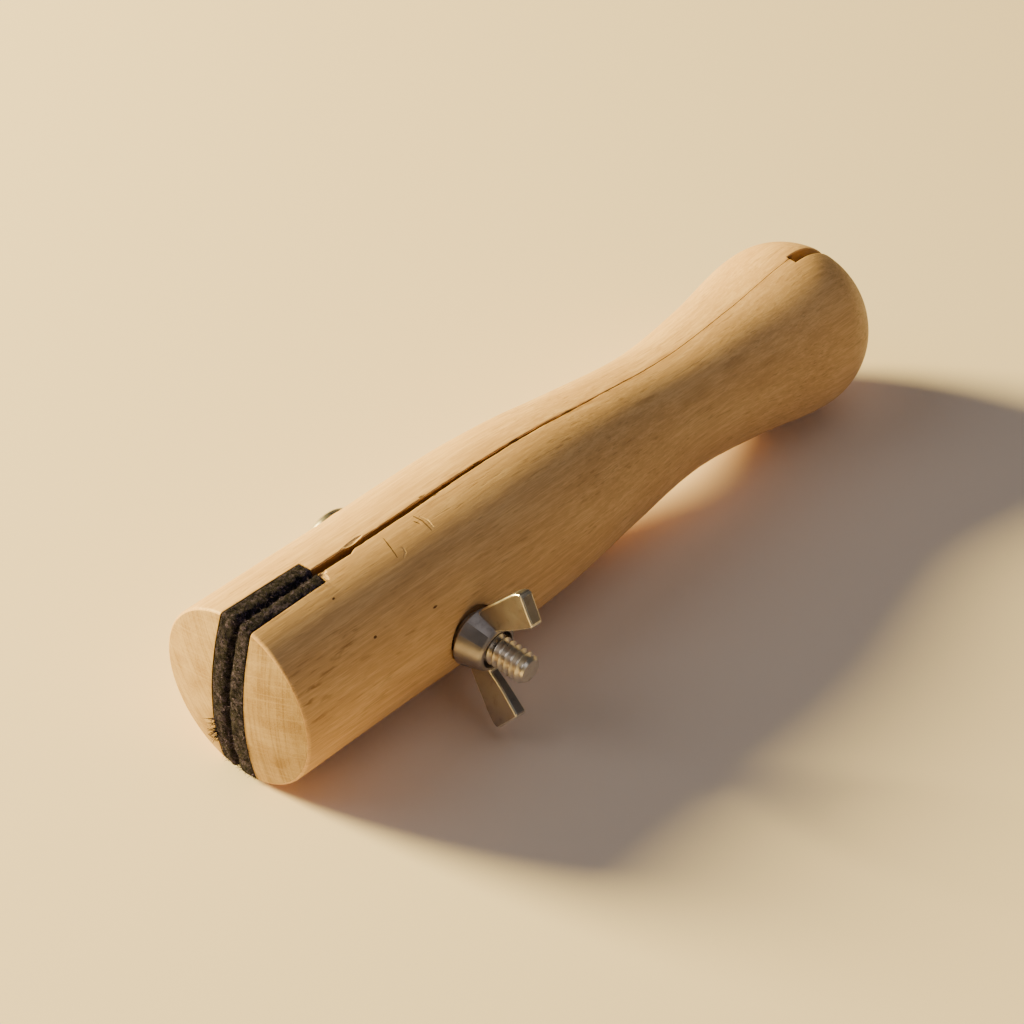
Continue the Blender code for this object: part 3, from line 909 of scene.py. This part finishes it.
def loose_fibres(mesh, side):
    """(Base, heading, curl, length, radius) of each fibre standing off a pad's open faces."""
    rng = random.Random(7 + side)

    def any_way():
        return Vector([rng.gauss(0, 1) for _ in range(3)])

    open_faces = []
    for polygon in mesh.polygons:
        x, y, z = (polygon.center - ORIGIN) / MM
        reach = math.hypot(y, z)
        if reach > 13.2 or x - nose_dome(reach) < 0.9:
            open_faces.append((polygon.center.copy(), polygon.normal.copy()))
    fibres = []
    for n in range(FIBRES):
        center, normal = rng.choice(open_faces)
        base = (center - ORIGIN) / MM
        length = rng.uniform(0.25, 0.65) if n % 10 else rng.uniform(0.65, 1.2)
        lean = any_way()
        heading = (normal * rng.uniform(0.15, 0.7) + lean * 0.6).normalized()
        if side * base.y > pad_outer(base.x, base.z, side) - 0.35:
            heading.y = -side * abs(heading.y)
        curl = any_way() * 0.35
        fibres.append((base - normal * 0.05, heading, curl, length, rng.uniform(0.025, 0.055)))

    # Bristles low on the nose, where the pad meets the wood, most of them on the far side
    for n in range(34 if side > 0 else 10):
        z = -rng.uniform(4.5, 9.5)
        y = pad_outer(2, z, side) - 0.15
        x = nose_dome(math.hypot(y, z))
        out, across, down = rng.uniform(0.6, 1.1), rng.uniform(0.4, 1.2), rng.uniform(-0.1, 0.8)
        heading = Vector((-out, side * across, -down))
        curl = any_way() * 0.25
        base = Vector((x + 0.05, side * y, z))
        fibres.append((base, heading.normalized(), curl, rng.uniform(0.6, 1.7), 0.075))
    return fibres


def add_fibres(pad, side, felts):
    """Add loose fibres to a pad's mesh as thin curling tubes, every third a paler one."""
    last = (FIBRE_RINGS - 1) * FIBRE_SIDES
    one = rings_to_faces(FIBRE_RINGS, FIBRE_SIDES) + [(0, 2, 1), (last, last + 1, last + 2)]
    verts, faces, slots = [], [], []
    fibres = loose_fibres(pad.data, side)
    for n, (point, heading, curl, length, radius) in enumerate(fibres):
        if point.z < -13.2:       # none reaches below the wood, into the table
            heading.z = abs(heading.z)
        faces += [tuple(len(verts) + i for i in face) for face in one]
        slots += [FIBRE if n < FIBRES and n % 3 == 0 else FELT] * len(one)
        for step in range(FIBRE_RINGS):
            across = heading.orthogonal().normalized()
            other = heading.cross(across)
            thin = radius * (1 - 0.6 * step / (FIBRE_RINGS - 1))
            verts += circle(point, thin, across, other, FIBRE_SIDES)
            point = point + heading * length / (FIBRE_RINGS - 1)
            heading = (heading + curl).normalized()
    fuzz = make_mesh("fuzz", verts, faces, felts, slots)
    bm = bmesh.new()
    bm.from_mesh(pad.data)
    bm.from_mesh(fuzz.data)
    for face in bm.faces:
        face.smooth = True
    bm.to_mesh(pad.data)
    bm.free()
    bpy.data.objects.remove(fuzz, do_unlink=True)


# -------- hardware

def make_thread(low, high, material):
    """A helical thread about the bolt's axis as one closed mesh."""
    steps = 96
    rows = []
    for turn in range(int((high - low) / THREAD_PITCH) + 1):
        for phase, deep in ((-0.045, 0), (0.045, 0), (0.44, 1), (0.56, 1)):
            radius = THREAD_RADIUS - THREAD_DEPTH * deep
            rows.append((low + (turn + phase) * THREAD_PITCH, radius))
    verts = []
    for height, radius in rows:
        for i in range(steps):
            angle = math.tau * i / steps
            rise = THREAD_PITCH * i / steps
            verts.append(Vector((*polar(radius, angle), height + rise)))

    def at(row, i):
        """A vertex of one row; the end of a turn is the start of the next."""
        return (row + 4) * steps if i == steps else row * steps + i

    faces = []
    for row in range(len(rows) - 1):
        for i in range(steps):
            if i < steps - 1 or row + 5 < len(rows):
                faces.append((at(row, i), at(row, i + 1), at(row + 1, i + 1), at(row + 1, i)))
    last = len(rows) - 1
    start = [at(0, i) for i in range(steps)] + [at(row, 0) for row in (4, 3, 2, 1)]
    end = [at(last, i) for i in range(steps)] + [at(last - row, steps - 1) for row in (1, 2, 3, 4)]
    for loop, height in ((start, low - 1), (end, high + 2)):
        verts.append(Vector((0, 0, height)))
        middle = len(verts) - 1
        faces += [(loop[i], loop[(i + 1) % len(loop)], middle) for i in range(len(loop))]
    return make_mesh("bolt_threaded", [ALONG_BOLT @ vert for vert in verts], faces, [material])


def build_bolt(material):
    """Carriage bolt with a real helical thread, square neck and domed head."""
    bolt = make_thread(-6, BOLT_END + 1, material)
    end = [(0, -4), (2.5, -4), (2.5, BOLT_END - 0.8), (1.75, BOLT_END), (0, BOLT_END)]
    combine(bolt, "INTERSECT", lathe("blank", end, [material], ALONG_BOLT, 96))
    shank = lathe("shank", rod_profile(2.34, -13, -3.9), [material], ALONG_BOLT, 64)

    dome = [
        (0, 10.9), (2.2, 10.9), (2.38, 11.05), (2.38, HEAD_SEAT), (HEAD_RADIUS - 0.15, HEAD_SEAT),
        (HEAD_RADIUS, HEAD_SEAT + 0.1), (HEAD_RADIUS, HEAD_SEAT + 0.3),
    ]
    for i in range(1, 15):
        a = math.radians(90 * i / 15)
        dome.append((HEAD_RADIUS * math.cos(a), HEAD_SEAT + 0.4 + 2.4 * math.sin(a)))
    dome.append((0, HEAD_SEAT + 2.8))
    head = lathe("head", dome, [material], ALONG_HEAD, 72)
    neck = bmesh.new()
    bmesh.ops.create_cube(neck, size=1, matrix=Matrix.Diagonal((4.8, 3.1, 4.8, 1)))
    bmesh.ops.bevel(neck, geom=neck.edges[:], offset=0.25, segments=3, profile=0.5, affect="EDGES")
    bmesh.ops.translate(neck, verts=neck.verts, vec=(BOLT_X, HEAD_SEAT - 1.45, 0))
    square = from_bmesh("neck", neck, [material])
    combine(bolt, "UNION", shank, head, square)
    tidy_mesh(bolt.data, 28)
    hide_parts("carriage_bolt")
    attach(bolt, "far_half")


def hub_outline(radius):
    """Round hub section with a few flat facets after each wing."""
    corners = [10, 36, 62, *np.arange(68, 152, 6.0), *np.arange(152, 188, 8.0)]
    angles = [start + WING_ANGLE + corner for start in (0, 180) for corner in corners]
    return [polar(radius, math.radians(angle)) for angle in angles]


def build_nut(materials):
    """Cold-formed wing nut: collar, faceted hub, two wings and a plain bore."""
    levels = [(4.1, -0.05), (4.76, 0.42), (3.88, 3.85), (3.7, 4.2), (3.46, 4.46), (3.16, 4.55)]
    verts = [Vector((*point, up)) for radius, up in levels for point in hub_outline(radius)]
    faces = rings_to_faces(len(levels), len(verts) // len(levels), capped=True)
    place = ALONG_BOLT @ Matrix.Translation((0, 0, NUT_BASE))
    hub = make_mesh("wing_nut_cast", [place @ vert for vert in verts], faces, materials, sharp=14)

    collar = [
        (0, -0.22), (4.05, -0.22), (4.3, -0.14), (4.52, 0.04), (4.66, 0.26), (4.68, 0.42),
        (4.6, 0.58), (4.4, 0.68), (0, 0.68),
    ]
    base = lathe("collar", collar, materials, place, 96)
    wings = [make_wing(turn, place, materials) for turn in (0, 180)]
    combine(hub, "UNION", base, *wings)
    bore = [
        (0, -1), (2.75, -1), (2.75, 0.2), (2.5, 0.5), (2.5, 2.9), (2.94, 3.0), (3.02, 4.5),
        (3.02, 20), (0, 20),
    ]
    combine(hub, "DIFFERENCE", lathe("bore", bore, materials, place, 64))
    tidy_mesh(hub.data, 14)
    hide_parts("wing_nut")
    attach(hub, "nut")


def make_wing(turn, place, materials):
    """One wing: thinner where it leaves the hub, thicker towards its flat end."""
    lower = [
        (2.6, 0.55), (4.8, 0.7), (5.6, 1.15), (7.0, 2.35), (8.6, 3.8), (10.2, 5.15),
        (11.1, 5.95), (11.65, 6.55), (11.95, 7.2), (11.85, 7.8),
    ]
    upper = [
        (2.6, 4.3), (3.5, 4.45), (4.0, 5.1), (4.6, 6.1), (5.4, 7.3), (6.3, 8.5),
        (7.15, 9.6), (7.45, 10.0), (7.75, 10.35), (8.25, 10.5),
    ]
    across = 8
    verts = []
    for face in (-1, 1):
        for (low_out, low_up), (high_out, high_up) in zip(lower, upper):
            for k in range(across + 1):
                out = low_out + (high_out - low_out) * k / across
                up = low_up + (high_up - low_up) * k / across
                root = min(max((9.5 - out) / 5, 0), 1)
                verts.append(Vector((out, face * (1.15 - 0.3 * root), up)))
    rows = len(lower)
    side_count = rows * (across + 1)

    faces = []

    def quad(*corners):
        faces.append([f * side_count + row * (across + 1) + k for f, row, k in corners])

    for f in (0, 1):
        for row in range(rows - 1):
            for k in range(across):
                quad((f, row, k), (f, row, k + 1), (f, row + 1, k + 1), (f, row + 1, k))
    for row in range(rows - 1):
        for k in (0, across):
            quad((0, row, k), (0, row + 1, k), (1, row + 1, k), (1, row, k))
    for k in range(across):
        for row in (0, rows - 1):
            quad((0, row, k), (0, row, k + 1), (1, row, k + 1), (1, row, k))
    spin = Matrix.Rotation(math.radians(WING_ANGLE + turn), 4, "Z")
    wing = make_mesh(f"wing_{turn}", [place @ spin @ vert for vert in verts], faces, materials)
    soften_edges(wing, 0.28)
    return wing


def soften_edges(obj, width):
    """Round the sharp edges over the given width, in brighter metal: worn by handling, with a
    painted highlight.
    """
    bevel = obj.modifiers.new("soften", "BEVEL")
    bevel.limit_method = "ANGLE"
    bevel.angle_limit = math.radians(40)
    bevel.width = width * MM
    bevel.segments = 3
    bevel.material = CAST_EDGE_HIGHLIGHT
    apply_modifiers(obj)


def build_washer(material):
    """Stamped washer between the nut and the bottom of its seat."""
    low, high = 13.36, 14.06
    section = [
        (2.7, low + 0.08), (2.78, low), (3.27, low), (3.37, low + 0.1), (3.37, high - 0.12),
        (3.25, high), (2.78, high), (2.7, high - 0.08), (2.7, low + 0.08),
    ]
    washer = lathe("washer_stamped", section, [material], ALONG_BOLT, 96)
    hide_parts("flat_washer")
    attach(washer, "washer")


def build_pin(material):
    """Fulcrum pin upright between the halves, with faint marks of drawing along it."""
    profile = [(0, -12), (1.1, -12), (1.35, -11.85), (1.5, -11.6)]
    profile += [(1.5 + 0.012 * math.sin(4 * h), h) for h in np.arange(-11.2, 11.3, 0.4)]
    profile += [(1.5, 11.6), (1.35, 11.85), (1.1, 12), (0, 12)]
    pin = lathe("pin_drawn", profile, [material], UPRIGHT, 48)
    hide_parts("fulcrum_pin")
    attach(pin, "far_half")


def build_spring(material):
    """Opening spring round the bolt, with its end turns closed."""
    path = []
    turns, per_turn, half, coil_radius = 6, 40, 5.1, 3.5
    closing, closed_rise = 0.9 / turns, 0.015
    for i in range(turns * per_turn + 1):
        share = i / (turns * per_turn)
        if share < closing:
            rise = closed_rise * share / closing
        elif share > 1 - closing:
            rise = 1 - closed_rise * (1 - share) / closing
        else:
            free = (share - closing) / (1 - 2 * closing)
            rise = closed_rise + (1 - 2 * closed_rise) * free
        angle = math.tau * i / per_turn
        height = -half + 2 * half * rise
        path.append(ALONG_BOLT @ Vector((*polar(coil_radius, angle), height)))
    spring = tube("spring_coiled", path, [0.4] * len(path), [material], 0, 12)
    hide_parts("opening_spring")
    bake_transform(spring)


# -------- stage

def build_stage():
    """Pale floor just under the part, a warm light behind it on the left, soft light above."""
    floor = bpy.data.meshes.new("floor")
    low = CAD_BOX[0].z - 0.00002
    corners = [(x, y, low) for x, y in ((-3, -3), (3, -3), (3, 3), (-3, 3))]
    floor.from_pydata(corners, [], [(0, 1, 2, 3)])
    plane = add_object("floor", floor)
    material = bpy.data.materials.new("floor_plain")
    material.use_nodes = True
    bsdf = material.node_tree.nodes["Principled BSDF"]
    bsdf.inputs["Base Color"].default_value = (0.96, 0.81, 0.71, 1)
    bsdf.inputs["Roughness"].default_value = 0.9
    floor.materials.append(material)

    world = bpy.data.worlds.new("studio")
    world.use_nodes = True
    background = world.node_tree.nodes["Background"]
    background.inputs["Color"].default_value = (1.0, 0.93, 0.82, 1)
    background.inputs["Strength"].default_value = 0.07
    bpy.context.scene.world = world

    add_light("key", (-0.525, 1.04, 0.485), 0.38, 82, (1.0, 0.79, 0.26))
    add_light("back", (-0.62, 0.5, 0.76), 0.6, 1.5, (1.0, 0.94, 0.86))
    add_light("top", (0.1, -0.2, 1.2), 1.0, 1.4, (0.97, 0.93, 0.88))
    add_light("fill", (-0.2, -0.9, 0.6), 0.5, 0.6, (0.98, 0.95, 0.92))


def add_light(name, place, size, power, color):
    """A round area light aimed at the part."""
    light = bpy.data.lights.new(name, "AREA")
    light.shape = "DISK"
    light.size = size
    light.energy = power
    light.color = color
    aim(add_object(name, light), place, (0, 0, 0))


def aim(obj, place, target, roll=0):
    """Put an object at a place, facing a target and rolled by some degrees."""
    obj.location = place
    obj.rotation_mode = "QUATERNION"
    turn = Matrix.Rotation(math.radians(roll), 4, "Z").to_quaternion()
    facing = (Vector(target) - Vector(place)).to_track_quat("-Z", "Y")
    obj.rotation_quaternion = facing @ turn


def build_camera():
    """A long lens above the nose on the near side, rolled a little."""
    data = bpy.data.cameras.new("camera")
    data.sensor_width = 36
    data.lens = 95.48
    data.clip_start = 0.01
    camera = add_object("camera", data)
    aim(camera, (-0.25455, -0.19400, 0.27762), (-0.00702, 0.00731, 0.01037), 4.18)
    bpy.context.scene.camera = camera


build_camera()
build_stage()
WOODS = [beech(), shaded_sawn_wood(), torn_wood(), end_wood()]
FELTS = [felt(), felt("felt_fibre", 4)]
NICKEL = nickel("nickel_worn", (0.68, 0.62, 0.56), 0.25)
CAST = [
    nickel("nickel_cast", (0.37, 0.335, 0.34), 0.34),
    # Brighter metal on the rounded edges: worn plating and a painted highlight
    nickel("nickel_edge_painted_highlight", (0.8, 0.74, 0.67), 0.28),
]
STEEL = nickel("steel_bright", (0.46, 0.45, 0.44), 0.3)
build_halves(WOODS)
for side in (1, -1):
    build_pad(side, FELTS)
build_bolt(NICKEL)
build_nut(CAST)
build_washer(NICKEL)
build_pin(STEEL)
build_spring(STEEL)
